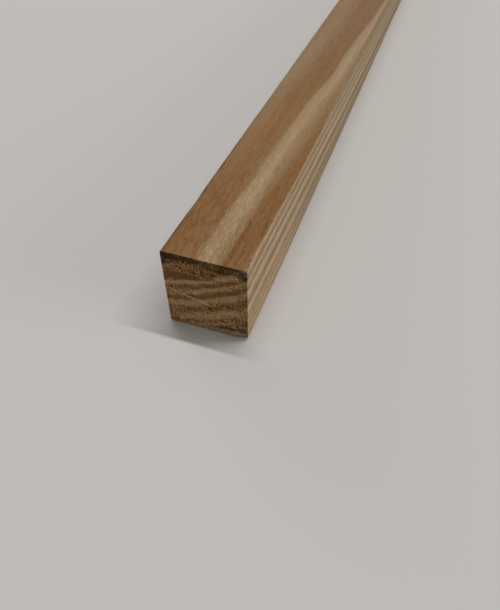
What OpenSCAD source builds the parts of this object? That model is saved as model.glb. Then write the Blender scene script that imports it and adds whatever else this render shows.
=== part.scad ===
// Hardwood batten: one length of timber, planed on its four long faces, with the
// long edges eased by a light pass of the plane and both ends sawn square.
// It lies on its narrower face. The origin is at the middle of the underside,
// +Y runs along the grain and +Z is up.

/* [Section] */
// Width of the batten, across the face that it lies on
batten_width = 25; // [15:0.5:60]
// Height of the batten, from its underside to its top face
batten_height = 28; // [15:0.5:60]
// Radius of the eased arris along each of the four long edges
arris_radius = 0.6; // [0.2:0.1:3]

/* [Length] */
// Length of the batten, from one sawn end to the other
batten_length = 600; // [300:10:2400]

/* [Hidden] */

// Sides of a full circle, for the arcs of the eased arrises
arc_sides = 64;
timber_colour = [0.60, 0.46, 0.31];

// Centre of each arris arc, measured from the middle of the section's lower edge
arris_x = batten_width / 2 - arris_radius;
arris_low = arris_radius;
arris_high = batten_height - arris_radius;

// The planed section, standing on its lower edge, with a round arris at each corner
module eased_section() {
    translate([-batten_width / 2, arris_low])
        square([batten_width, arris_high - arris_low]);
    translate([-arris_x, 0])
        square([2 * arris_x, batten_height]);
    for (x = [-arris_x, arris_x], z = [arris_low, arris_high])
        translate([x, z])
            circle(r = arris_radius, $fn = arc_sides);
}

// The batten, with its section drawn out along the grain between two square saw cuts
module batten() {
    color(timber_colour)
        translate([0, batten_length / 2, 0])
            rotate([90, 0, 0])
                linear_extrude(height = batten_length)
                    eased_section();
}

batten();
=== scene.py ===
"""A hardwood batten: planed faces, eased arrises, sawn ends, and growth rings that run right through it."""

import math

import bmesh
import bpy
from mathutils import Matrix, Vector


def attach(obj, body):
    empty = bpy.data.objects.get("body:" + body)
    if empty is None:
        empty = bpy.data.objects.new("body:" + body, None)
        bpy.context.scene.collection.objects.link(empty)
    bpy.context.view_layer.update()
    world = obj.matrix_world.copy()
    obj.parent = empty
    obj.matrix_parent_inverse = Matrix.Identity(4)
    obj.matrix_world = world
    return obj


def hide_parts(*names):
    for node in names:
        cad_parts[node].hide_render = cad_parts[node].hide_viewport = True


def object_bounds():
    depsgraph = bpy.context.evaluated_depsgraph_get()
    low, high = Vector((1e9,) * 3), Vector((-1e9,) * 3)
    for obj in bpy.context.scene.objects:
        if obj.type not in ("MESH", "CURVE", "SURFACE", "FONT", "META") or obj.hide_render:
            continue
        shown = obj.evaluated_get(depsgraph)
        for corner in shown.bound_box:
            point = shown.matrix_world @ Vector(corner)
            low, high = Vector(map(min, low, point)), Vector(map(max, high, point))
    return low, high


bl_info = {
    "name": "Hardwood Batten",
    "version": (1, 0, 0),
    "blender": (4, 5, 0),
    "location": "View3D > Sidebar > Batten",
    "description": "Models a planed hardwood batten, its grain and a plain stage for it",
    "category": "Object",
}

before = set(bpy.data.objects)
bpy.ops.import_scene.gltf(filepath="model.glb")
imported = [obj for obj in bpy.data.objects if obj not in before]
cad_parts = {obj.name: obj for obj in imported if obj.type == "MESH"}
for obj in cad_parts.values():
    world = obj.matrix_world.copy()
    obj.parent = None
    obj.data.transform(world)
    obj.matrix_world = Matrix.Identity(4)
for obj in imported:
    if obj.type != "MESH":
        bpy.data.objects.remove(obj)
CAD_LOW, CAD_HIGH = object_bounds()
CAD_SIZE = CAD_HIGH - CAD_LOW

# Millimetres in a metre: the grain is worked out in millimetres
MM = 1000.0

# Half the length of the batten, in millimetres
HALF_LENGTH = CAD_SIZE.y / 2 * MM

# Spans below are pairs, in millimetres: a change starts at the first and is whole at the second. Along is
# from the near end, across from the middle to the right, up from the underside, and ring is a radius in
# the tree.

# Middle of the tree, in millimetres from the middle of the underside: to the left of the batten and above it
HEART_ACROSS = -29.0
HEART_UP = 79.0

# The batten was sawn askew to the tree, so the rings drift outwards along it: by how much in all, and where
DRIFT = 17.7
DRIFT_ALONG = (-60.0, 520.0)

# Growth rings: radius in millimetres, tone on a planed face and tone on a sawn end, from about 0 for dark
# late wood to about 1 for pale early wood
RINGS = (
    (45.0, 0.42, 0.60),
    (48.4, 0.46, 0.62),
    (50.2, 0.57, 0.60),
    (52.0, 0.43, 0.50),
    (53.6, 0.30, 0.38),
    (55.2, 0.27, 0.36),
    (57.2, 0.29, 0.36),
    (57.9, 0.70, 0.62),
    (59.4, 0.83, 0.64),
    (60.6, 0.62, 0.56),
    (62.4, 0.38, 0.40),
    (63.6, 0.30, 0.38),
    (64.7, 0.28, 0.40),
    (65.8, 0.74, 0.96),
    (66.5, 0.60, 0.98),
    (67.6, 0.14, 0.50),
    (69.1, 0.94, 0.96),
    (70.8, 0.10, 0.46),
    (72.3, 0.98, 0.98),
    (73.3, 0.82, 0.90),
    (75.5, 0.04, 0.46),
    (77.9, 0.96, 0.96),
    (79.0, 0.70, 0.94),
    (80.2, 0.30, 0.60),
    (81.8, 0.64, 0.86),
    (83.1, 0.50, 0.50),
    (83.9, 0.68, 0.80),
    (84.9, 0.32, 0.36),
    (85.5, 1.05, 0.66),
    (86.0, 0.95, 0.60),
    (86.7, 0.10, 0.48),
    (88.2, 0.94, 0.60),
)
PLANED_COLUMN = 1
SAWN_COLUMN = 2

# Wood nearer the heart than those rings: the even spacing of its rings, in millimetres
OLD_RING = 3.9

# Radius at which the brown heartwood gives way to the pale sapwood, at the near end and farther along, where
# the one start becomes the other, and how wide the change of colour is
SAP_START = 65.0
SAP_FARTHER = 61.8
SAP_SHIFT_ALONG = (50.0, 120.0)
SAP_EDGE = (0.0, 0.9)

# How the rings stray on the planed faces, in millimetres: brown wood has a toothed edge, the wood nearest
# the heart and then all of it runs ahead, less so towards the far end, and on one stretch it hangs back
BROWN_STOP_RING = (58.2, 60.0)
INNER_STOP_RING = (52.0, 55.0)
INNER_LEAD = 3.0
INNER_LEAD_ALONG = (150.0, 250.0)
LEAD = 0.6
LEAD_ALONG = (180.0, 230.0)
LEAD_STOP_ALONG = (400.0, 560.0)
LAG = 0.45
LAG_START_ALONG = (95.0, 118.0)
LAG_STOP_ALONG = (125.0, 148.0)

# Dark line of late wood in the heartwood, which shows only by the near end: its radius, half its width, the
# softer flank on its outer side, and where the line and the flank fade out
LATE_LINE = 61.9
LATE_LINE_HALF = (0.15, 0.80)
FLANK_START = (-0.6, 0.2)
FLANK_STOP = (0.4, 3.4)
LATE_LINE_STOP_ALONG = (8.0, 30.0)
FLANK_STOP_ALONG = (25.0, 60.0)

# Planed faces: the stretch by the near end that is darker from handling, the paler stretch after it, and the
# paler rim beside the cream band
HANDLED_STOP_ALONG = (15.0, 78.0)
PALER_START_ALONG = (22.0, 55.0)
PALER_STOP_ALONG = (70.0, 115.0)
PALER_STOP_RING = (60.8, 63.2)
RIM_START_RING = (55.2, 56.2)
RIM_STOP_RING = (57.1, 57.6)

# Shifts of colour on the planed faces: the flush of the pale wood, the fading of the heartwood, the wood by
# the heart that stays rich, the start of the dapple, the stretch farther along that is painted dimmer as a
# fall-off of light, and the painted shade low on the sapwood
FLUSH_STOP_ALONG = (0.0, 40.0)
FADED_ALONG = (40.0, 200.0)
RICH_STOP_RING = (51.0, 53.5)
RICH_ALONG = (150.0, 210.0)
DAPPLE_ALONG = (50.0, 90.0)
LIGHT_FALLOFF_ALONG = (110.0, 210.0)
SAP_SHADE_UP = (15.0, 5.0)

# Dark line along the left top arris by the near end
ARRIS_LINE_ACROSS = (-11.3, -12.0)
ARRIS_LINE_UP = (26.9, 27.5)
ARRIS_LINE_STOP_ALONG = (40.0, 110.0)

# Nicks in the arrises by the near end, in millimetres: across, along, up, radius
NICKS = (
    (11.7, 4.3, 28.0, 0.46),
    (11.9, 2.3, 28.0, 0.46),
    (12.3, 0.9, 27.8, 0.42),
    (-12.4, 24.0, 27.8, 0.70),
    (12.5, 0.0, 0.0, 1.40),
)

# Shape of a nick: width over length and depth over radius, and the depths at which its painted shade starts
# and is whole
NICK_SLIMNESS = 0.36
NICK_DEPTH = 0.7
NICK_SHADE = (0.01, 0.16)

# The patches and scratches of the near end are gone on the far end
NEAR_STOP_ALONG = (200.0, 400.0)

# Lower part of the near end, and the greyer foot of its right half
END_LOW_UP = (20.0, 6.0)
END_FOOT_UP = (4.0, 2.2)
END_FOOT_ACROSS = (0.0, 6.0)

# Saw marks on the ends: how far they climb for each millimetre to the left
SAW_SLANT = 0.22

# Rays on the ends: how many times their tone changes in a radian about the heart
RAYS_IN_RADIAN = 240.0

# Saw scratches on the near end, in millimetres: left end across and up, right end across and up, strength.
# Under them, half the width of a scratch
SCRATCHES = (
    (-12.3, 14.7, 1.4, 11.1, 1.0),
    (-5.6, 6.5, -1.6, 5.8, 0.8),
    (-8.8, 23.0, 1.0, 21.1, 0.35),
    (2.4, 20.8, 9.0, 19.0, 0.30),
)
SCRATCH_HALF = (0.10, 0.36)

# Lens-shaped patches on the near end, in millimetres: centre across and up, half length, half depth, slope,
# strength. First the dark patches, among them the dark band under the top edge
DARK_PATCHES = (
    (-10.4, 26.9, 4.2, 1.4, -0.04, 1.0),
    (-4.6, 26.9, 4.4, 1.3, 0.0, 0.95),
    (0.9, 26.3, 4.2, 1.6, 0.0, 0.66),
    (5.2, 25.4, 2.6, 0.65, 0.02, 1.05),
    (6.6, 27.0, 4.6, 1.1, 0.0, 0.72),
    (11.0, 26.0, 2.8, 2.2, -0.1, 0.9),
    (-12.3, 24.5, 1.2, 1.6, 0.0, 0.8),
    (11.6, 17.0, 3.0, 9.0, 0.0, 0.20),
    (11.8, 14.9, 1.5, 0.9, 0.2, 0.5),
    (7.4, 3.2, 5.4, 0.65, 0.13, 0.85),
    (9.0, 5.4, 3.4, 1.5, 0.1, 0.3),
    (12.4, 5.4, 1.0, 4.4, 0.0, 0.6),
    (-11.6, 1.5, 1.8, 1.0, 0.0, 0.45),
    (-12.4, 5.0, 0.8, 3.2, 0.0, 0.35),
)

# Smooth late wood
LATE_PATCHES = (
    (1.0, 19.1, 3.8, 0.85, 0.27, 1.0),
    (-5.5, 16.5, 4.6, 0.8, 0.28, 0.7),
    (6.2, 17.6, 4.4, 1.0, 0.40, 1.1),
    (-4.0, 13.6, 2.6, 0.6, 0.06, 1.1),
    (1.0, 14.9, 3.0, 0.9, 0.36, 0.9),
    (-9.6, 11.2, 3.4, 0.9, 0.1, 0.6),
    (6.9, 13.9, 1.8, 0.6, 0.36, 0.5),
    (-5.0, 5.9, 2.8, 0.5, 0.1, 0.5),
    (-3.8, 2.7, 1.6, 0.45, 0.0, 0.5),
)

# Reddish wood
RED_PATCHES = (
    (-7.6, 20.4, 6.2, 1.3, 0.05, 0.85),
    (-4.6, 23.6, 6.8, 1.7, -0.1, 0.32),
    (5.6, 11.4, 4.2, 1.2, 0.3, 0.3),
    (5.6, 21.3, 3.6, 1.0, 0.2, 0.5),
    (-4.6, 7.6, 4.4, 0.9, 0.1, 0.2),
)

# Pale early wood
PALE_PATCHES = (
    (-4.6, 18.7, 7.0, 0.95, 0.27, 1.1),
    (5.4, 23.4, 4.0, 0.9, 0.38, 0.5),
    (10.8, 22.4, 2.2, 0.5, 0.35, 0.5),
    (0.6, 17.2, 7.4, 0.8, 0.43, 1.15),
    (7.2, 16.1, 5.0, 1.1, 0.48, 1.0),
    (1.8, 13.3, 3.4, 0.8, 0.45, 0.7),
    (-7.6, 9.5, 5.4, 0.95, 0.32, 0.9),
    (5.8, 9.4, 5.2, 0.85, 0.46, 0.8),
    (-3.2, 4.8, 6.6, 1.05, 0.24, 1.0),
    (0.0, 0.8, 12.0, 0.9, 0.0, 0.8),
    (7.6, 1.8, 5.0, 0.7, 0.05, 0.7),
)

# Open pores
PORED_PATCHES = (
    (-5.5, 23.6, 7.2, 2.0, -0.08, 1.0),
    (5.5, 21.4, 4.0, 1.2, 0.2, 1.0),
    (-11.2, 15.6, 2.2, 2.0, 0.0, 0.9),
    (1.5, 14.4, 3.5, 0.8, 0.2, 0.6),
    (4.5, 11.4, 5.2, 1.7, 0.2, 0.8),
    (-8.5, 6.6, 4.2, 1.2, 0.1, 0.6),
    (8.5, 5.2, 4.6, 3.2, 0.0, 1.0),
    (-8.5, 2.2, 4.0, 1.4, 0.0, 0.7),
    (0.5, 1.9, 5.5, 1.1, 0.0, 0.6),
)

# Frayed fibres
FRAYED_PATCHES = (
    (8.6, 5.7, 4.0, 1.8, 0.0, 1.0),
    (11.0, 26.4, 2.0, 1.6, 0.0, 0.7),
)

# Stretch where the rings lie farther up than the tree's shape gives, and by how many millimetres at most
BEND_PATCHES = ((-9.6, 16.8, 7.6, 3.2, 0.2, 1.0),)
BEND = 1.3

# Depths of the relief, in millimetres: rings and fibres on the planed faces, rings, saw marks, roughness and
# the ridges of scratches on the sawn ends, and chips and dents in the edges
PLANED_RING_DEPTH = 0.020
FIBRE_DEPTH = 0.020
SAWN_RING_DEPTH = 0.05
SAW_MARK_DEPTH = 0.08
ROUGH_DEPTH = 0.08
SCRATCH_RIDGE = 0.10
CHIP_DEPTH = 0.26
DENT_DEPTH = 0.05

# By the near end the underside rises to the right: by how much, and where
UNDERSIDE_RISE = 0.7
UNDERSIDE_ACROSS = (-9.0, 12.5)
UNDERSIDE_STOP_ALONG = (60.0, 260.0)

# Mesh of the batten: faces round an arris, how far along an edge may run and still lie in an end, in metres,
# the angle in degrees past which an edge stays sharp, and how squarely a face looks along when it is an end
ARRIS_FACES = 4
END_EDGE_EXTENT = 1e-6
SHARP_ANGLE = 40
END_FACING = 0.6

# Stage, in metres: width of the floor, how far in from the near end the lamps aim, the direction that each
# shines from, its distance and its size
FLOOR_WIDTH = 3.0
LAMP_AIM = 0.1
OVERHEAD_FROM = (0.18, 0.21, 1.0)
OVERHEAD_DISTANCE = 4.0
OVERHEAD_SIZE = (3.67, 0.156)
WINDOW_FROM = (0.95, 0.05, 0.26)
FILL_FROM = (-0.75, 0.60, 0.28)
SIDE_DISTANCE = 6.0
SIDE_SIZE = (3.0, 2.5)

# Camera: how far it looks down and turns to the left, in degrees, and how far it stands to the right of the
# middle of the near end's lower edge, back from it and above it, in widths of the batten
CAMERA_DOWN = 47.335
CAMERA_LEFT = 19.309
CAMERA_ASIDE = 1.7477
CAMERA_BACK = 3.4789
CAMERA_ABOVE = 4.6364

# Lens of the camera: focal length and picture height in pixels, sensor in millimetres, and the nearest
# distance that it sees, in metres
FOCAL_PIXELS = 498.6
PICTURE_HEIGHT = 610.0
SENSOR = 36.0
NEAREST = 0.005


def paint(red, green, blue):
    """A display colour from 0 to 255 as the linear colour that Blender works with."""
    levels = [value / 255.0 for value in (red, green, blue)]
    linear = [level / 12.92 if level <= 0.04045 else ((level + 0.055) / 1.055) ** 2.4 for level in levels]
    return tuple(linear)


class BattenSizes(bpy.types.PropertyGroup):
    """Sizes of the batten."""

    width: bpy.props.FloatProperty(
        name="Width", description="Across the face it lies on", default=CAD_SIZE.x, unit="LENGTH"
    )
    length: bpy.props.FloatProperty(
        name="Length", description="From one sawn end to the other", default=CAD_SIZE.y, unit="LENGTH"
    )
    height: bpy.props.FloatProperty(
        name="Height", description="From the underside to the top face", default=CAD_SIZE.z, unit="LENGTH"
    )
    arris: bpy.props.FloatProperty(
        name="Arris", description="Radius of the eased long edges",
        default=0.0006, precision=5, unit="LENGTH",
    )
    end_ease: bpy.props.FloatProperty(
        name="End ease", description="Bevel round the sawn ends",
        default=0.00011, precision=5, unit="LENGTH",
    )
    grid: bpy.props.FloatProperty(
        name="Grid", description="Spacing of the long lines that carry the relief",
        default=0.000313, precision=6, unit="LENGTH",
    )
    end_zone: bpy.props.FloatProperty(
        name="End zone", description="Length at each end with closer cross lines",
        default=0.012, unit="LENGTH",
    )
    end_grid: bpy.props.FloatProperty(
        name="End grid", description="Spacing of the cross lines in the end zones",
        default=0.0005, precision=5, unit="LENGTH",
    )
    cross_grid: bpy.props.FloatProperty(
        name="Cross grid", description="Spacing of the cross lines between the end zones",
        default=0.0041, precision=5, unit="LENGTH",
    )


class BattenColours(bpy.types.PropertyGroup):
    """Colours of the wood."""

    heart_dark: bpy.props.FloatVectorProperty(
        name="Heart dark", description="Darkest heartwood on a planed face",
        subtype="COLOR", default=paint(100, 67, 36),
    )
    heart_brown: bpy.props.FloatVectorProperty(
        name="Heart brown", description="Late heartwood on a planed face",
        subtype="COLOR", default=paint(131, 96, 57),
    )
    heart_tan: bpy.props.FloatVectorProperty(
        name="Heart tan", description="Middle tone of the heartwood",
        subtype="COLOR", default=paint(142, 115, 84),
    )
    heart_cream: bpy.props.FloatVectorProperty(
        name="Heart cream", description="Early heartwood on a planed face",
        subtype="COLOR", default=paint(157, 132, 99),
    )
    umber: bpy.props.FloatVectorProperty(
        name="Umber", description="Warm flush in the heartwood, strongest by the near end",
        subtype="COLOR", default=paint(118, 73, 20),
    )
    sap_dark: bpy.props.FloatVectorProperty(
        name="Sap dark", description="Late sapwood on a planed face",
        subtype="COLOR", default=paint(128, 100, 70),
    )
    sap_tan: bpy.props.FloatVectorProperty(
        name="Sap tan", description="Middle tone of the sapwood",
        subtype="COLOR", default=paint(157, 130, 98),
    )
    sap_pale: bpy.props.FloatVectorProperty(
        name="Sap pale", description="Palest wood on a planed face",
        subtype="COLOR", default=paint(182, 158, 125),
    )
    # Also paints the shade low on the sapwood and in the nicks, and the dark arris line
    pore_and_shade: bpy.props.FloatVectorProperty(
        name="Pore", description="Pores and dirt on a planed face",
        subtype="COLOR", default=paint(84, 55, 30),
    )
    end_dark: bpy.props.FloatVectorProperty(
        name="End dark", description="Darkest wood and pores on a sawn end",
        subtype="COLOR", default=paint(56, 38, 21),
    )
    end_red: bpy.props.FloatVectorProperty(
        name="End red", description="Reddish wood on a sawn end",
        subtype="COLOR", default=paint(114, 75, 47),
    )
    end_late: bpy.props.FloatVectorProperty(
        name="End late", description="Late wood on a sawn end",
        subtype="COLOR", default=paint(110, 77, 47),
    )
    end_brown: bpy.props.FloatVectorProperty(
        name="End brown", description="Middle tone of a sawn end",
        subtype="COLOR", default=paint(139, 106, 69),
    )
    end_pale: bpy.props.FloatVectorProperty(
        name="End pale", description="Early wood on a sawn end",
        subtype="COLOR", default=paint(170, 142, 103),
    )
    end_olive: bpy.props.FloatVectorProperty(
        name="End olive", description="Smooth late wood on a sawn end",
        subtype="COLOR", default=paint(109, 85, 54),
    )
    # Colour of the dark patches on the near end, among them the band under the top edge
    dark_patch: bpy.props.FloatVectorProperty(
        name="Stain", description="Weathered stain on the near end",
        subtype="COLOR", default=paint(57, 41, 25),
    )
    fray: bpy.props.FloatVectorProperty(
        name="Fray", description="Torn fibres and saw scratches on a sawn end",
        subtype="COLOR", default=paint(214, 184, 142),
    )


class StageSettings(bpy.types.PropertyGroup):
    """Floor and lamps."""

    floor: bpy.props.FloatVectorProperty(
        name="Floor", description="Colour of the floor", subtype="COLOR", default=paint(197, 195, 192)
    )
    sky_colour: bpy.props.FloatVectorProperty(
        name="Sky colour", description="Colour of the light from all round",
        subtype="COLOR", default=(1.0, 0.96, 0.91),
    )
    sky: bpy.props.FloatProperty(
        name="Sky", description="Light from all round", default=0.30, subtype="FACTOR"
    )
    backdrop: bpy.props.FloatProperty(
        name="Backdrop", description="How pale the sky looks to the camera", default=0.58, subtype="FACTOR"
    )
    overhead: bpy.props.FloatProperty(
        name="Overhead", description="Light of the overhead lamp on the floor",
        default=0.59, subtype="FACTOR",
    )
    window: bpy.props.FloatProperty(
        name="Window", description="Light of the lamp on the right", default=0.31, subtype="FACTOR"
    )
    fill: bpy.props.FloatProperty(
        name="Fill", description="Light of the lamp behind on the left", default=0.22, subtype="FACTOR"
    )


class Wire:
    """An output socket of a node tree. Arithmetic on wires adds Math nodes to the tree."""

    def __init__(self, tree, socket):
        self.tree = tree
        self.socket = socket

    def node(self, kind, settings=None, values=None, output=0):
        """Adds a node of this kind, makes its settings, then fills its sockets with values or wires."""
        made = self.tree.nodes.new(kind)
        for name, setting in (settings or {}).items():
            if name == "stops":
                fill_ramp(made.color_ramp, setting)
            else:
                setattr(made, name, setting)
        for key, value in (values or {}).items():
            if isinstance(value, Wire):
                self.tree.links.new(value.socket, made.inputs[key])
            else:
                made.inputs[key].default_value = value
        return Wire(self.tree, made.outputs[output])

    def math(self, operation, *values):
        """A Math node."""
        return self.node("ShaderNodeMath", {"operation": operation}, dict(enumerate(values)))

    def vector(self, operation, *values):
        """A Vector Math node."""
        return self.node("ShaderNodeVectorMath", {"operation": operation}, dict(enumerate(values)))

    def __add__(self, other):
        return self.math("ADD", self, other)

    def __radd__(self, other):
        return self.math("ADD", other, self)

    def __sub__(self, other):
        return self.math("SUBTRACT", self, other)

    def __rsub__(self, other):
        return self.math("SUBTRACT", other, self)

    def __mul__(self, other):
        return self.math("MULTIPLY", self, other)

    def __rmul__(self, other):
        return self.math("MULTIPLY", other, self)

    def __truediv__(self, other):
        return self.math("DIVIDE", self, other)

    def __rtruediv__(self, other):
        return self.math("DIVIDE", other, self)

    def __abs__(self):
        return self.math("ABSOLUTE", self)

    def axes(self):
        """The three parts of a vector."""
        parts = self.node("ShaderNodeSeparateXYZ", {}, {0: self})
        return [Wire(self.tree, socket) for socket in parts.socket.node.outputs]


def fill_ramp(colour_ramp, stops):
    """Gives a colour ramp these stops, each a place from 0 to 1 and a colour."""
    colour_ramp.interpolation = "LINEAR"
    while len(colour_ramp.elements) > 1:
        colour_ramp.elements.remove(colour_ramp.elements[-1])
    colour_ramp.elements[0].position = stops[0][0]
    colour_ramp.elements[0].color = stops[0][1]
    for place, colour in stops[1:]:
        colour_ramp.elements.new(place).color = colour


def rise(value, span):
    """0 before a span, 1 past it and a smooth step between, also where the span runs downwards."""
    start, stop = span
    return value.node(
        "ShaderNodeMapRange",
        {"interpolation_type": "SMOOTHSTEP"},
        {"Value": value, "From Min": start, "From Max": stop},
    )


def fall(value, span):
    """1 before a span, 0 past it and a smooth step between."""
    return 1.0 - rise(value, span)


def band(value, start, stop):
    """1 between two spans and 0 outside them."""
    return rise(value, start) * fall(value, stop)


def blend(share, first, second):
    """A value between two others."""
    return first + share * (second - first)


def together(operation, wires):
    """Wires joined into one, one after another, by a Math operation."""
    total = wires[0]
    for wire in wires[1:]:
        total = total.math(operation, total, wire)
    return total


def colour_of(setting):
    """A colour property as a socket takes it."""
    return (*setting, 1.0)


def mix(share, first, second):
    """A colour between two others."""
    settings = {"data_type": "RGBA", "clamp_factor": True}
    return share.node("ShaderNodeMix", settings, {0: share, 6: first, 7: second}, output=2)


def ramp(tone, *stops):
    """A colour that follows a tone, by places and colour properties."""
    filled = [(place, colour_of(colour)) for place, colour in stops]
    return tone.node("ShaderNodeValToRGB", {"stops": filled}, {0: tone})


def tint(colour, hue, saturation, value):
    """A colour with its hue, saturation and value shifted."""
    values = {"Hue": hue, "Saturation": saturation, "Value": value, "Color": colour}
    return colour.node("ShaderNodeHueSaturation", {}, values)


def noise(place, across, along, up, seed=0.0, detail=2.0, roughness=0.5):
    """Noise about 0.5 that changes this many times in a millimetre along each axis."""
    scale = (across * MM, along * MM, up * MM)
    spot = place.vector("MULTIPLY_ADD", place, scale, (seed, seed + 4.7, seed + 9.1))
    values = {"Vector": spot, "Scale": 1.0, "Detail": detail, "Roughness": roughness}
    return spot.node("ShaderNodeTexNoise", {}, values)


class Timber:
    """The wood as a solid: where each point lies in the tree, in millimetres, and what marks it."""

    def __init__(self, place):
        across, along, up = place.axes()
        self.place = place
        self.across = across * MM
        self.along = along * MM + HALF_LENGTH
        self.up = up * MM
        self.aside = self.across - HEART_ACROSS
        self.below = HEART_UP - self.up
        self.reach = place.math("SQRT", self.aside * self.aside + self.below * self.below)
        sway = (noise(place, 0.10, 0.006, 0.10, seed=3.0, detail=1.0) - 0.5) * 0.8
        ripple = (noise(place, 0.55, 0.06, 0.55, seed=11.0, detail=2.0) - 0.5) * 0.9
        self.ring = self.reach - rise(self.along, DRIFT_ALONG) * DRIFT + sway + ripple + 0.5

    def tone(self, column):
        """Tone of the growth ring at a point, by this column of the table of rings."""
        low, high = RINGS[0][0], RINGS[-1][0]
        stops = [((row[0] - low) / (high - low), colour_of([row[column]] * 3)) for row in RINGS]
        young = self.ring.node("ShaderNodeValToRGB", {"stops": stops}, {0: (self.ring - low) / (high - low)})
        shift = (noise(self.place, 0.3, 0.01, 0.3, seed=17.0, detail=0.0) - 0.5) * 0.4
        season = self.place.math("FRACT", self.ring / OLD_RING + shift)
        old = 0.72 - rise(season, (0.08, 0.92)) * 0.5
        return blend(rise(self.ring, (low - 0.2, low + 0.8)), old, young)

    def near_end(self):
        """1 on the near end and 0 on the far end."""
        return fall(self.along, NEAR_STOP_ALONG)

    def nicks(self):
        """Depth of the nicks in the arrises, in millimetres."""
        dips = []
        for across, along, up, radius in NICKS:
            centre = (across / MM, (along - HALF_LENGTH) / MM, up / MM)
            off = self.place.vector("SUBTRACT", self.place, centre)
            share = off.vector("MULTIPLY", off, (MM / radius, NICK_SLIMNESS * MM / radius, MM / radius))
            away = share.node("ShaderNodeVectorMath", {"operation": "LENGTH"}, {0: share}, output="Value")
            dips.append(fall(away, (0.0, 1.0)) * (radius * NICK_DEPTH))
        return together("ADD", dips)

    def saw_marks(self):
        """Faint parallel tooth marks that cross a sawn end."""
        slant = self.up + self.across * SAW_SLANT
        parts = {0: slant * 1.5, 1: self.across * 0.05, 2: self.along * 0.01}
        spot = slant.node("ShaderNodeCombineXYZ", {}, parts)
        return spot.node("ShaderNodeTexNoise", {}, {"Vector": spot, "Scale": 1.0, "Detail": 2.0})

    def scratches(self):
        """Pale saw scratches on the near end."""
        waver = (noise(self.place, 0.5, 0.0, 0.5, seed=41.0, detail=1.0) - 0.5) * 0.5
        broken = rise(noise(self.place, 0.8, 0.0, 0.8, seed=43.0, detail=2.0), (0.30, 0.62))
        marks = []
        for left, left_up, right, right_up, strength in SCRATCHES:
            slope = (right_up - left_up) / (right - left)
            off = abs(self.up - (self.across - left) * slope - left_up + waver)
            length = band(self.across, (left - 0.4, left + 1.2), (right - 1.6, right + 0.4))
            marks.append(fall(off, SCRATCH_HALF) * length * broken * strength)
        return together("ADD", marks) * self.near_end()

    def patches(self, table):
        """Lens-shaped patches with a ragged edge on the near end."""
        fringe = (noise(self.place, 1.1, 0.0, 0.9, seed=47.0, detail=2.0) - 0.5) * 0.7
        lenses = []
        for across, up, length, depth, slope, strength in table:
            run = (self.across - across) / length
            climb = (self.up - up - (self.across - across) * slope) / depth
            lenses.append(fall(run * run + climb * climb + fringe, (0.25, 1.35)) * strength)
        return together("MAXIMUM", lenses) * self.near_end()


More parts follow.
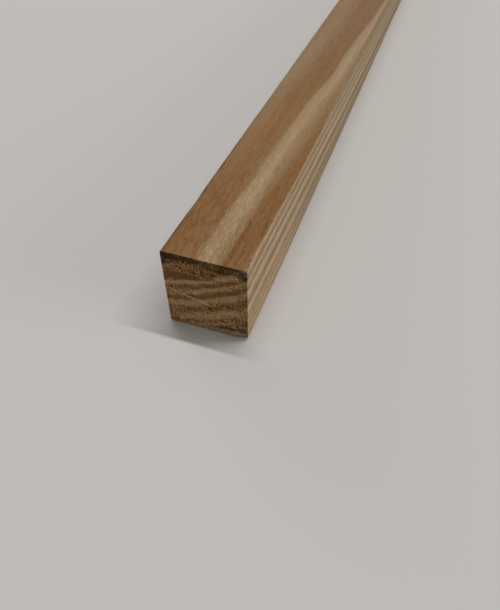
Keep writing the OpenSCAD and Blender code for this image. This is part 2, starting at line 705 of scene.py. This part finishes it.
class PlanedFace(Timber):
    """The wood as a planed face shows it: brown and cream figure, fibres, streaks, pores, an arris line and
    painted shade.
    """

    def __init__(self, place):
        super().__init__(place)
        self.handled = fall(self.along, HANDLED_STOP_ALONG)
        self.fibre = noise(place, 2.8, 0.45, 2.8, seed=7.0, detail=2.0, roughness=0.6) - 0.5
        self.mottle = noise(place, 0.9, 0.22, 0.9, seed=15.0, detail=3.0, roughness=0.65) - 0.5
        self.ring = self.ring + self.stray()
        self.sap_share = self.sapwood()
        self.ring_tone = self.tone(PLANED_COLUMN) - self.late_line() * 0.24
        self.late = fall(self.ring_tone, (0.25, 0.80))
        self.pores = self.pore_dashes()

    def stray(self):
        """How far the rings stray from the tree's shape, in millimetres."""
        tooth = noise(self.place, 1.0, 0.40, 1.0, seed=67.0, detail=2.0) - 0.5
        toothed = tooth * fall(self.ring, BROWN_STOP_RING) * (0.3 + self.handled * 1.1)
        inner = fall(self.ring, INNER_STOP_RING) * rise(self.along, INNER_LEAD_ALONG) * INNER_LEAD
        lead = (inner + rise(self.along, LEAD_ALONG) * LEAD) * fall(self.along, LEAD_STOP_ALONG)
        return toothed + lead - band(self.along, LAG_START_ALONG, LAG_STOP_ALONG) * LAG

    def sapwood(self):
        """0 in the brown heartwood and 1 in the pale sapwood."""
        start = SAP_START + rise(self.along, SAP_SHIFT_ALONG) * (SAP_FARTHER - SAP_START)
        return rise(self.ring - start, SAP_EDGE)

    def late_line(self):
        """1 on the dark line of late wood by the near end, and less on its flank."""
        off = self.ring - LATE_LINE
        line = fall(abs(off), LATE_LINE_HALF) * fall(self.along, LATE_LINE_STOP_ALONG)
        return line + band(off, FLANK_START, FLANK_STOP) * (fall(self.along, FLANK_STOP_ALONG) * 0.4)

    def pore_dashes(self):
        """Short dark dashes where the planed face cuts along the pores."""
        long_dash = noise(self.place, 1.9, 0.10, 1.9, seed=21.0, detail=1.0)
        short_dash = noise(self.place, 2.2, 0.30, 2.2, seed=29.0, detail=1.0)
        return rise(long_dash, (0.58, 0.72)) * 0.7 + rise(short_dash, (0.58, 0.72)) * 0.9

    def face_tone(self):
        """Tone of the rings with streaks, fibres and the paler stretches."""
        streak = noise(self.place, 0.8, 0.006, 0.8, seed=5.0, detail=3.0, roughness=0.6) - 0.5
        grain = (self.fibre * 0.90 + self.mottle * 0.26) * (0.20 + self.handled * 0.75)
        fine = grain * blend(self.handled, 0.70 + self.late * 0.30, 1.10)
        stretch = band(self.along, PALER_START_ALONG, PALER_STOP_ALONG) * fall(self.ring, PALER_STOP_RING)
        rim = band(self.ring, RIM_START_RING, RIM_STOP_RING) * self.handled
        handled_late = self.late * self.handled * (1.0 - self.sap_share)
        paler = self.late * stretch * 0.09 + rim * 0.09 + handled_late * 0.045
        return self.ring_tone + streak * 0.24 + fine * (1.0 + self.sap_share * 0.5) + paler

    def wood(self, colours):
        """Heartwood with its warm flush, and sapwood."""
        tone = self.face_tone()
        heart = ramp(
            tone, (0.0, colours.heart_dark), (0.30, colours.heart_brown), (0.55, colours.heart_tan),
            (0.78, colours.heart_cream), (1.0, colours.sap_pale),
        )
        sap = ramp(tone, (0.0, colours.sap_dark), (0.50, colours.sap_tan), (1.0, colours.sap_pale))
        cloud = noise(self.place, 0.16, 0.02, 0.16, seed=13.0, detail=3.0, roughness=0.6)
        flush = self.late * rise(cloud, (0.42, 0.66)) * 0.10 + self.handled * self.late * 0.39
        flush = flush + (1.0 - self.late) * fall(self.along, FLUSH_STOP_ALONG) * 0.19
        return mix(self.sap_share, mix(flush, heart, colour_of(colours.umber)), sap)

    def tinted(self, colours):
        """The wood with its colour shifted from place to place, and with painted light."""
        full = (1.0 - self.sap_share) * (0.05 - self.handled * 0.03 - rise(self.along, FADED_ALONG) * 0.12)
        rich = fall(self.ring, RICH_STOP_RING) * rise(self.along, RICH_ALONG) * 0.10
        dapple = self.mottle * (0.12 + rise(self.along, DAPPLE_ALONG) * 0.22)
        greyer = self.handled * 0.02 + self.sap_share * (0.06 - self.handled * 0.04)
        # Painted light: brighter by the near end, more so on the sapwood, and dimmer farther along, as a
        # lamp's fall-off
        painted_light_falloff = self.handled * (0.025 + self.sap_share * 0.02) - rise(self.along, LIGHT_FALLOFF_ALONG) * 0.025
        return tint(
            self.wood(colours),
            hue=0.5 + self.mottle * 0.012 + self.sap_share * (1.0 - self.handled) * 0.006,
            saturation=0.98 - dapple + full + rich - greyer,
            value=0.955 + painted_light_falloff,
        )

    def arris_line_and_nick_shade(self):
        """A dark line along the left top arris by the near end, and painted shade in the nicks."""
        edge = rise(self.across, ARRIS_LINE_ACROSS) * rise(self.up, ARRIS_LINE_UP)
        dashes = rise(noise(self.place, 0.6, 0.15, 0.6, seed=57.0, detail=1.0), (0.40, 0.60))
        line = edge * fall(self.along, ARRIS_LINE_STOP_ALONG) * (0.55 + dashes * 0.45)
        # Painted shade in the nicks, darker the deeper the dent
        return line + rise(self.nicks(), NICK_SHADE)

    def marked_and_shaded(self, colours):
        """The tinted wood with its pores, painted shade low on the sapwood, the dark arris line and nick
        shade.
        """
        # Painted shade: the sapwood darker towards the floor, and a little darker away from the near end
        foot = self.sap_share * (1.0 - self.handled) * (0.05 + rise(self.up, SAP_SHADE_UP) * 0.24)
        dark = self.pores * (0.25 + self.late * 0.75) * (0.20 + self.handled * 0.28) + foot
        return mix(dark + self.arris_line_and_nick_shade() * 0.75, self.tinted(colours), colour_of(colours.pore_and_shade))


class SawnEnd(Timber):
    """The wood as a sawn end shows it: rings, rays, pores, saw marks, dark patches and torn fibres."""

    def __init__(self, place):
        super().__init__(place)
        self.ring = self.ring + self.patches(BEND_PATCHES) * BEND
        self.rays = self.ray_lines() - 0.5
        self.marks = self.saw_marks() - 0.5
        self.speckle = noise(place, 1.5, 0.02, 1.1, seed=31.0, detail=3.0, roughness=0.75) - 0.5
        self.blotch = noise(place, 0.22, 0.01, 0.3, seed=33.0, detail=2.0)
        self.late = self.patches(LATE_PATCHES)
        self.red = self.patches(RED_PATCHES)
        self.pale = self.patches(PALE_PATCHES)
        self.calm = together("MAXIMUM", (self.pale, self.late, self.red))
        self.open_pores = self.patches(PORED_PATCHES) + (1.0 - self.near_end()) * 0.6
        self.holes = self.pore_holes()
        self.ring_tone = self.paled_rings()
        self.scored = self.scratches()

    def ray_lines(self):
        """Fine lines across the rings."""
        bearing = self.place.math("ARCTAN2", self.aside, self.below)
        parts = {0: bearing * RAYS_IN_RADIAN, 1: self.reach * 0.35, 2: self.along * 0.01}
        spot = self.reach.node("ShaderNodeCombineXYZ", {}, parts)
        values = {"Vector": spot, "Scale": 1.0, "Detail": 2.0, "Roughness": 0.6}
        return spot.node("ShaderNodeTexNoise", {}, values)

    def pore_holes(self):
        """Round dark mouths of the open pores."""
        spot = self.place.vector("MULTIPLY", self.place, (1.3 * MM, 0.02 * MM, 1.1 * MM))
        cell = spot.node("ShaderNodeTexVoronoi", {"feature": "F1"}, {"Vector": spot, "Scale": 1.0})
        return fall(cell, (0.12, 0.36)) * self.open_pores * (1.0 - self.calm)

    def paled_rings(self):
        """Tone of the rings, stronger in some places than in others, with the pale patches over them."""
        strong = rise(noise(self.place, 0.11, 0.01, 0.16, seed=35.0, detail=1.0), (0.30, 0.62))
        rings = blend(0.80 + strong * 0.30, 0.60, self.tone(SAWN_COLUMN)) * 0.90
        return blend(self.pale * 0.85, rings, 0.92)

    def wood(self, colours):
        """Rings, reddish wood, smooth late wood and pores in their colours."""
        grit = noise(self.place, 3.2, 0.02, 1.6, seed=63.0, detail=1.0) - 0.5
        coarse = (0.70 + self.open_pores * 0.30) * (1.0 - self.calm * 0.66)
        fine = (self.rays + self.speckle * 1.4 + grit * 3.2) * coarse
        rings = ramp(
            (self.ring_tone + fine + self.marks * 0.35) * 0.7,
            (0.0, colours.end_dark), (0.21, colours.end_late), (0.41, colours.end_brown),
            (0.70, colours.end_pale), (1.0, colours.fray),
        )
        flushed = mix(self.red * 0.7, rings, colour_of(colours.end_red))
        ripe = mix(self.late * 0.85, flushed, colour_of(colours.end_olive))
        return mix(self.holes * 0.55, ripe, colour_of(colours.end_dark))

    def with_dark_patches(self, colours):
        """The wood with its dark patches, torn fibres and saw scratches."""
        # Dark patches on the near end, among them the band under the top edge
        dark_patch = self.patches(DARK_PATCHES)
        frayed = self.patches(FRAYED_PATCHES)
        threads = rise(noise(self.place, 2.4, 0.02, 0.4, seed=71.0, detail=1.0), (0.54, 0.72))
        cover = dark_patch * (0.90 - self.speckle * 0.5 - self.rays * 0.6 - threads * 0.30)
        darkened = mix(cover, self.wood(colours), colour_of(colours.dark_patch))
        fleck = rise(noise(self.place, 1.9, 0.02, 1.2, seed=37.0, detail=1.0), (0.60, 0.74))
        shown = rise(self.blotch, (0.34, 0.60)) * (0.25 - dark_patch * 0.2 + frayed * 0.6)
        torn = mix(fleck * shown, darkened, colour_of(colours.fray))
        shift = self.blotch - 0.5 + self.speckle * 0.3
        low = rise(self.up, END_LOW_UP) * self.near_end()
        foot = rise(self.up, END_FOOT_UP) * rise(self.across, END_FOOT_ACROSS) * self.near_end()
        toned = tint(
            torn,
            hue=0.5 - shift * 0.025 + low * 0.003,
            saturation=1.03 + shift * 0.45 - frayed * 0.15 - foot * 0.20 - self.pale * 0.06,
            value=0.97,
        )
        return mix(self.scored * 0.75, toned, colour_of(colours.fray))


def begin_material(name):
    """A new material and its Principled shader."""
    material = bpy.data.materials.new(name)
    material.use_nodes = True
    return material, material.node_tree.nodes["Principled BSDF"]


def object_place(material):
    """The wire of a material's object coordinates."""
    tree = material.node_tree
    return Wire(tree, tree.nodes.new("ShaderNodeTexCoord").outputs["Object"])


def connect(shader, name, wire):
    """Feeds one socket of a shader."""
    wire.tree.links.new(wire.socket, shader.inputs[name])


def bump(shader, height, strength, distance):
    """Feeds the normal of a shader with a bump of this height."""
    values = {"Strength": strength, "Distance": distance, "Height": height}
    connect(shader, "Normal", height.node("ShaderNodeBump", {}, values))


def planed_wood(colours):
    """The material of the planed long faces."""
    material, shader = begin_material("planed_wood")
    face = PlanedFace(object_place(material))
    connect(shader, "Base Color", face.marked_and_shaded(colours))
    connect(shader, "Roughness", 0.60 + face.pores * 0.2 - face.fibre * 0.3)
    height = face.fibre * 0.6 + face.ring_tone * 0.3 - face.pores * 0.8
    bump(shader, height, strength=0.25, distance=0.00012)
    shader.inputs["Specular IOR Level"].default_value = 0.11
    return material


def sawn_wood(colours):
    """The material of the sawn ends."""
    material, shader = begin_material("sawn_wood")
    end = SawnEnd(object_place(material))
    connect(shader, "Base Color", end.with_dark_patches(colours))
    connect(shader, "Roughness", 0.82 + end.speckle * 0.3)
    torn = end.rays * 0.6 + end.speckle * 1.4 + end.marks * 0.8
    height = torn + end.ring_tone * 0.4 - end.holes * 1.4 + end.scored * 1.2
    bump(shader, height, strength=0.5, distance=0.00018)
    shader.inputs["Specular IOR Level"].default_value = 0.04
    return material


def relief_depth(place, normal):
    """How far the surface lies below the plain section, in millimetres."""
    timber = Timber(place)
    face_x, face_y, face_z = normal.axes()
    on_end = rise(abs(face_y), (0.45, 0.65))
    on_arris = rise(abs(face_x * face_z), (0.12, 0.40)) * (1.0 - on_end)
    on_underside = rise(face_z, (-0.1, -0.8))

    # Planed faces: early wood lies a little below late wood, with fine grooves along the fibres
    fibre = noise(place, 1.3, 0.010, 1.3, seed=7.0, detail=2.0)
    planed = timber.tone(PLANED_COLUMN) * PLANED_RING_DEPTH + fibre * FIBRE_DEPTH

    # Sawn ends: tooth marks, torn early wood and ridges of frayed fibre
    rough = noise(place, 0.9, 0.02, 0.9, seed=31.0, detail=2.0)
    sawn = timber.tone(SAWN_COLUMN) * SAWN_RING_DEPTH + timber.saw_marks() * SAW_MARK_DEPTH
    sawn = sawn + rough * ROUGH_DEPTH - timber.scratches() * SCRATCH_RIDGE

    # Wear: fibres broken away along the lower edge of each end, dents along the arrises, and an underside
    # that rises a little to the right by the near end
    to_end = HALF_LENGTH - abs(timber.along - HALF_LENGTH)
    chips = rise(noise(place, 0.8, 0.8, 0.8, seed=51.0), (0.50, 0.66))
    chipped = fall(to_end + timber.up, (0.05, 0.7)) * chips * CHIP_DEPTH
    dents = on_arris * rise(noise(place, 0.2, 0.09, 0.2, seed=53.0, detail=2.0), (0.52, 0.72)) * DENT_DEPTH
    slope = rise(timber.across, UNDERSIDE_ACROSS) * fall(timber.along, UNDERSIDE_STOP_ALONG)
    raised = on_underside * (slope * UNDERSIDE_RISE)
    return blend(on_end, planed, sawn) + chipped + dents + raised + timber.nicks()


def grain_relief():
    """A node group for a modifier that cuts the grain, the saw marks and the wear into the surface."""
    tree = bpy.data.node_groups.new("grain_relief", "GeometryNodeTree")
    tree.interface.new_socket("Geometry", in_out="INPUT", socket_type="NodeSocketGeometry")
    tree.interface.new_socket("Geometry", in_out="OUTPUT", socket_type="NodeSocketGeometry")
    shape = Wire(tree, tree.nodes.new("NodeGroupInput").outputs[0])
    normal = shape.node("GeometryNodeInputNormal")
    depth = relief_depth(shape.node("GeometryNodeInputPosition"), normal)
    inwards = {0: normal, "Scale": depth * (-1.0 / MM)}
    cut = normal.node("ShaderNodeVectorMath", {"operation": "SCALE"}, inwards)
    carved = shape.node("GeometryNodeSetPosition", {}, {"Geometry": shape, "Offset": cut})
    ending = tree.nodes.new("NodeGroupOutput")
    tree.links.new(carved.socket, ending.inputs[0])
    return tree


def select_edges(piece, wanted):
    """In edit mode, selects the edges whose extent along the batten passes a test, and nothing else."""
    mesh = bmesh.from_edit_mesh(piece.data)
    for part in (*mesh.verts, *mesh.edges, *mesh.faces):
        part.select = False
    for edge in mesh.edges:
        first, second = (corner.co for corner in edge.verts)
        if wanted(abs(first.y - second.y)):
            edge.select_set(True)
    bmesh.update_edit_mesh(piece.data)


def cut_across(axis, places):
    """In edit mode, cuts the whole mesh by planes square to an axis."""
    normal = [0.0, 0.0, 0.0]
    normal[axis] = 1.0
    for place in places:
        point = [0.0, 0.0, 0.0]
        point[axis] = place
        bpy.ops.mesh.select_all(action="SELECT")
        bpy.ops.mesh.bisect(plane_co=point, plane_no=normal)


def spread(low, high, step):
    """Places that divide a stretch into equal parts of about one step, without its two ends."""
    parts = max(1, round((high - low) / step))
    return [low + (high - low) * index / parts for index in range(1, parts)]


def divide(length, step):
    """In edit mode, divides the selected edges of about this length into parts of about one step."""
    bpy.ops.mesh.subdivide(number_cuts=round(length / step) - 1)


def ease_edges(piece, sizes):
    """In edit mode, rounds the long edges and eases the edges of the sawn ends."""
    select_edges(piece, lambda extent: extent > sizes.length / 2)
    bpy.ops.mesh.bevel(offset=sizes.arris, segments=ARRIS_FACES, profile=0.5, affect="EDGES")
    select_edges(piece, lambda extent: extent < END_EDGE_EXTENT)
    bpy.ops.mesh.bevel(offset=sizes.end_ease, segments=1, affect="EDGES")


def cut_grid(piece, sizes):
    """In edit mode, cuts the lines that carry the relief, with closer cross lines by the ends."""
    half_length = sizes.length / 2
    between_zones = sizes.length - 2 * sizes.end_zone
    cut_across(0, spread(sizes.arris - sizes.width / 2, sizes.width / 2 - sizes.arris, sizes.grid))
    cut_across(2, spread(sizes.arris, sizes.height - sizes.arris, sizes.grid))
    cut_across(1, (sizes.end_zone - half_length, half_length - sizes.end_zone))
    select_edges(piece, lambda extent: extent > half_length)
    divide(between_zones, sizes.cross_grid)
    select_edges(piece, lambda extent: sizes.end_zone * 0.9 < extent < sizes.end_zone * 1.1)
    divide(sizes.end_zone, sizes.end_grid)


class OBJECT_OT_batten(bpy.types.Operator):
    """Models the batten: planed section, eased arrises, sawn ends, relief and wood"""

    bl_idname = "object.batten_add"
    bl_label = "Batten"

    def execute(self, context):
        sizes = context.scene.batten_sizes
        bpy.ops.object.select_all(action="DESELECT")
        bpy.ops.mesh.primitive_cube_add(
            size=1.0, location=(0, 0, sizes.height / 2), scale=(sizes.width, sizes.length, sizes.height)
        )
        piece = context.object
        piece.name = piece.data.name = "timber_batten"
        bpy.ops.object.transform_apply(location=True, rotation=True, scale=True)

        bpy.ops.object.mode_set(mode="EDIT")
        bpy.ops.mesh.select_mode(type="EDGE")
        ease_edges(piece, sizes)
        cut_grid(piece, sizes)
        bpy.ops.object.mode_set(mode="OBJECT")

        relief = piece.modifiers.new("grain_relief", "NODES")
        relief.node_group = grain_relief()
        bpy.ops.object.modifier_apply(modifier=relief.name)
        bpy.ops.object.shade_smooth_by_angle(angle=math.radians(SHARP_ANGLE))

        piece.data.materials.append(planed_wood(context.scene.batten_colours))
        piece.data.materials.append(sawn_wood(context.scene.batten_colours))
        for face in piece.data.polygons:
            face.material_index = 1 if abs(face.normal.y) > END_FACING else 0
        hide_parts("batten")
        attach(piece, "root")
        return {"FINISHED"}


def lay_floor(colour):
    """A plain floor under the batten."""
    bpy.ops.mesh.primitive_plane_add(size=FLOOR_WIDTH, location=(0, 0, 0))
    floor = bpy.context.object
    floor.name = floor.data.name = "floor"
    material, shader = begin_material("pale_floor")
    shader.inputs["Base Color"].default_value = colour_of(colour)
    shader.inputs["Roughness"].default_value = 0.6
    shader.inputs["Specular IOR Level"].default_value = 0.0
    floor.data.materials.append(material)


def soft_sky(stage):
    """A world that lights the batten softly, and looks paler to the camera and in reflections."""
    world = bpy.data.worlds.new("soft_sky")
    world.use_nodes = True
    tree = world.node_tree
    light_path = tree.nodes.new("ShaderNodeLightPath")
    kinds = ("Is Camera Ray", "Is Glossy Ray", "Is Transmission Ray")
    seen = together("MAXIMUM", [Wire(tree, light_path.outputs[kind]) for kind in kinds])
    sky = tree.nodes["Background"]
    sky.inputs["Color"].default_value = colour_of(stage.sky_colour)
    connect(sky, "Strength", blend(seen, stage.sky, stage.backdrop))
    return world


def lamp(name, target, source, distance, along, size, level):
    """A soft box that shines on a target from a direction, and lights a face turned to it at this level."""
    back = source.normalized()
    aside = (along - along.dot(back) * back).normalized()
    bpy.ops.object.light_add(type="AREA", location=target + back * distance)
    made = bpy.context.object
    made.name = made.data.name = name
    made.rotation_euler = Matrix((aside, back.cross(aside), back)).transposed().to_euler()
    made.data.shape = "RECTANGLE"
    made.data.size, made.data.size_y = size
    made.data.energy = level * (math.pi * distance) ** 2


def hang_lamps(stage, near):
    """A long lamp overhead and a soft box on each side."""
    target = Vector((0.0, near + LAMP_AIM, 0.0))
    across, along = Vector((1.0, 0.0, 0.0)), Vector((0.0, 1.0, 0.0))
    overhead, window, fill = Vector(OVERHEAD_FROM), Vector(WINDOW_FROM), Vector(FILL_FROM)
    floor_level = stage.overhead / overhead.normalized().z
    lamp("overhead_lamp", target, overhead, OVERHEAD_DISTANCE, across, OVERHEAD_SIZE, floor_level)
    lamp("window_lamp", target, window, SIDE_DISTANCE, along, SIDE_SIZE, stage.window)
    lamp("fill_lamp", target, fill, SIDE_DISTANCE, across + along, SIDE_SIZE, stage.fill)


def set_up_camera(width, near):
    """A camera in front of the near end, to its right, that looks down along the batten."""
    pitch, turn = math.radians(CAMERA_DOWN), math.radians(-CAMERA_LEFT)
    level = math.cos(pitch)
    ahead = Vector((math.sin(turn) * level, math.cos(turn) * level, -math.sin(pitch)))
    aside = Vector((math.cos(turn), -math.sin(turn), 0.0))
    spot = Vector((CAMERA_ASIDE * width, near - CAMERA_BACK * width, CAMERA_ABOVE * width))
    bpy.ops.object.camera_add(location=spot)
    camera = bpy.context.object
    camera.name = camera.data.name = "photo_camera"
    turned = Matrix((aside, aside.cross(ahead), -ahead)).transposed()
    camera.matrix_world = Matrix.Translation(spot) @ turned.to_4x4()
    camera.data.sensor_width = SENSOR
    camera.data.lens = FOCAL_PIXELS * SENSOR / PICTURE_HEIGHT
    camera.data.clip_start = NEAREST
    return camera


class SCENE_OT_batten_stage(bpy.types.Operator):
    """Lays the floor, hangs the lamps and sets up the camera"""

    bl_idname = "scene.batten_stage"
    bl_label = "Stage"

    def execute(self, context):
        scene = context.scene
        near = -scene.batten_sizes.length / 2
        bpy.ops.object.select_all(action="DESELECT")
        lay_floor(scene.batten_stage.floor)
        scene.world = soft_sky(scene.batten_stage)
        hang_lamps(scene.batten_stage, near)
        scene.camera = set_up_camera(scene.batten_sizes.width, near)
        scene.view_settings.view_transform = "Standard"
        return {"FINISHED"}


class VIEW3D_PT_batten(bpy.types.Panel):
    """Sidebar panel with the sizes, the colours, the stage and the two steps"""

    bl_idname = "VIEW3D_PT_batten"
    bl_label = "Hardwood Batten"
    bl_space_type = "VIEW_3D"
    bl_region_type = "UI"
    bl_category = "Batten"

    def draw(self, context):
        for group in (context.scene.batten_sizes, context.scene.batten_colours, context.scene.batten_stage):
            box = self.layout.box()
            for name in group.bl_rna.properties.keys():
                if name not in ("rna_type", "name"):
                    box.prop(group, name)
        self.layout.operator(OBJECT_OT_batten.bl_idname)
        self.layout.operator(SCENE_OT_batten_stage.bl_idname)


CLASSES = (
    BattenSizes,
    BattenColours,
    StageSettings,
    OBJECT_OT_batten,
    SCENE_OT_batten_stage,
    VIEW3D_PT_batten,
)


def register():
    """Adds the classes and the settings to Blender."""
    for item in CLASSES:
        bpy.utils.register_class(item)
    bpy.types.Scene.batten_sizes = bpy.props.PointerProperty(type=BattenSizes)
    bpy.types.Scene.batten_colours = bpy.props.PointerProperty(type=BattenColours)
    bpy.types.Scene.batten_stage = bpy.props.PointerProperty(type=StageSettings)


def unregister():
    """Takes the settings and the classes out again."""
    del bpy.types.Scene.batten_stage
    del bpy.types.Scene.batten_colours
    del bpy.types.Scene.batten_sizes
    for item in reversed(CLASSES):
        bpy.utils.unregister_class(item)


def main():
    """Builds the batten and its stage."""
    register()
    bpy.ops.object.batten_add()
    bpy.ops.scene.batten_stage()


if __name__ == "__main__":
    main()
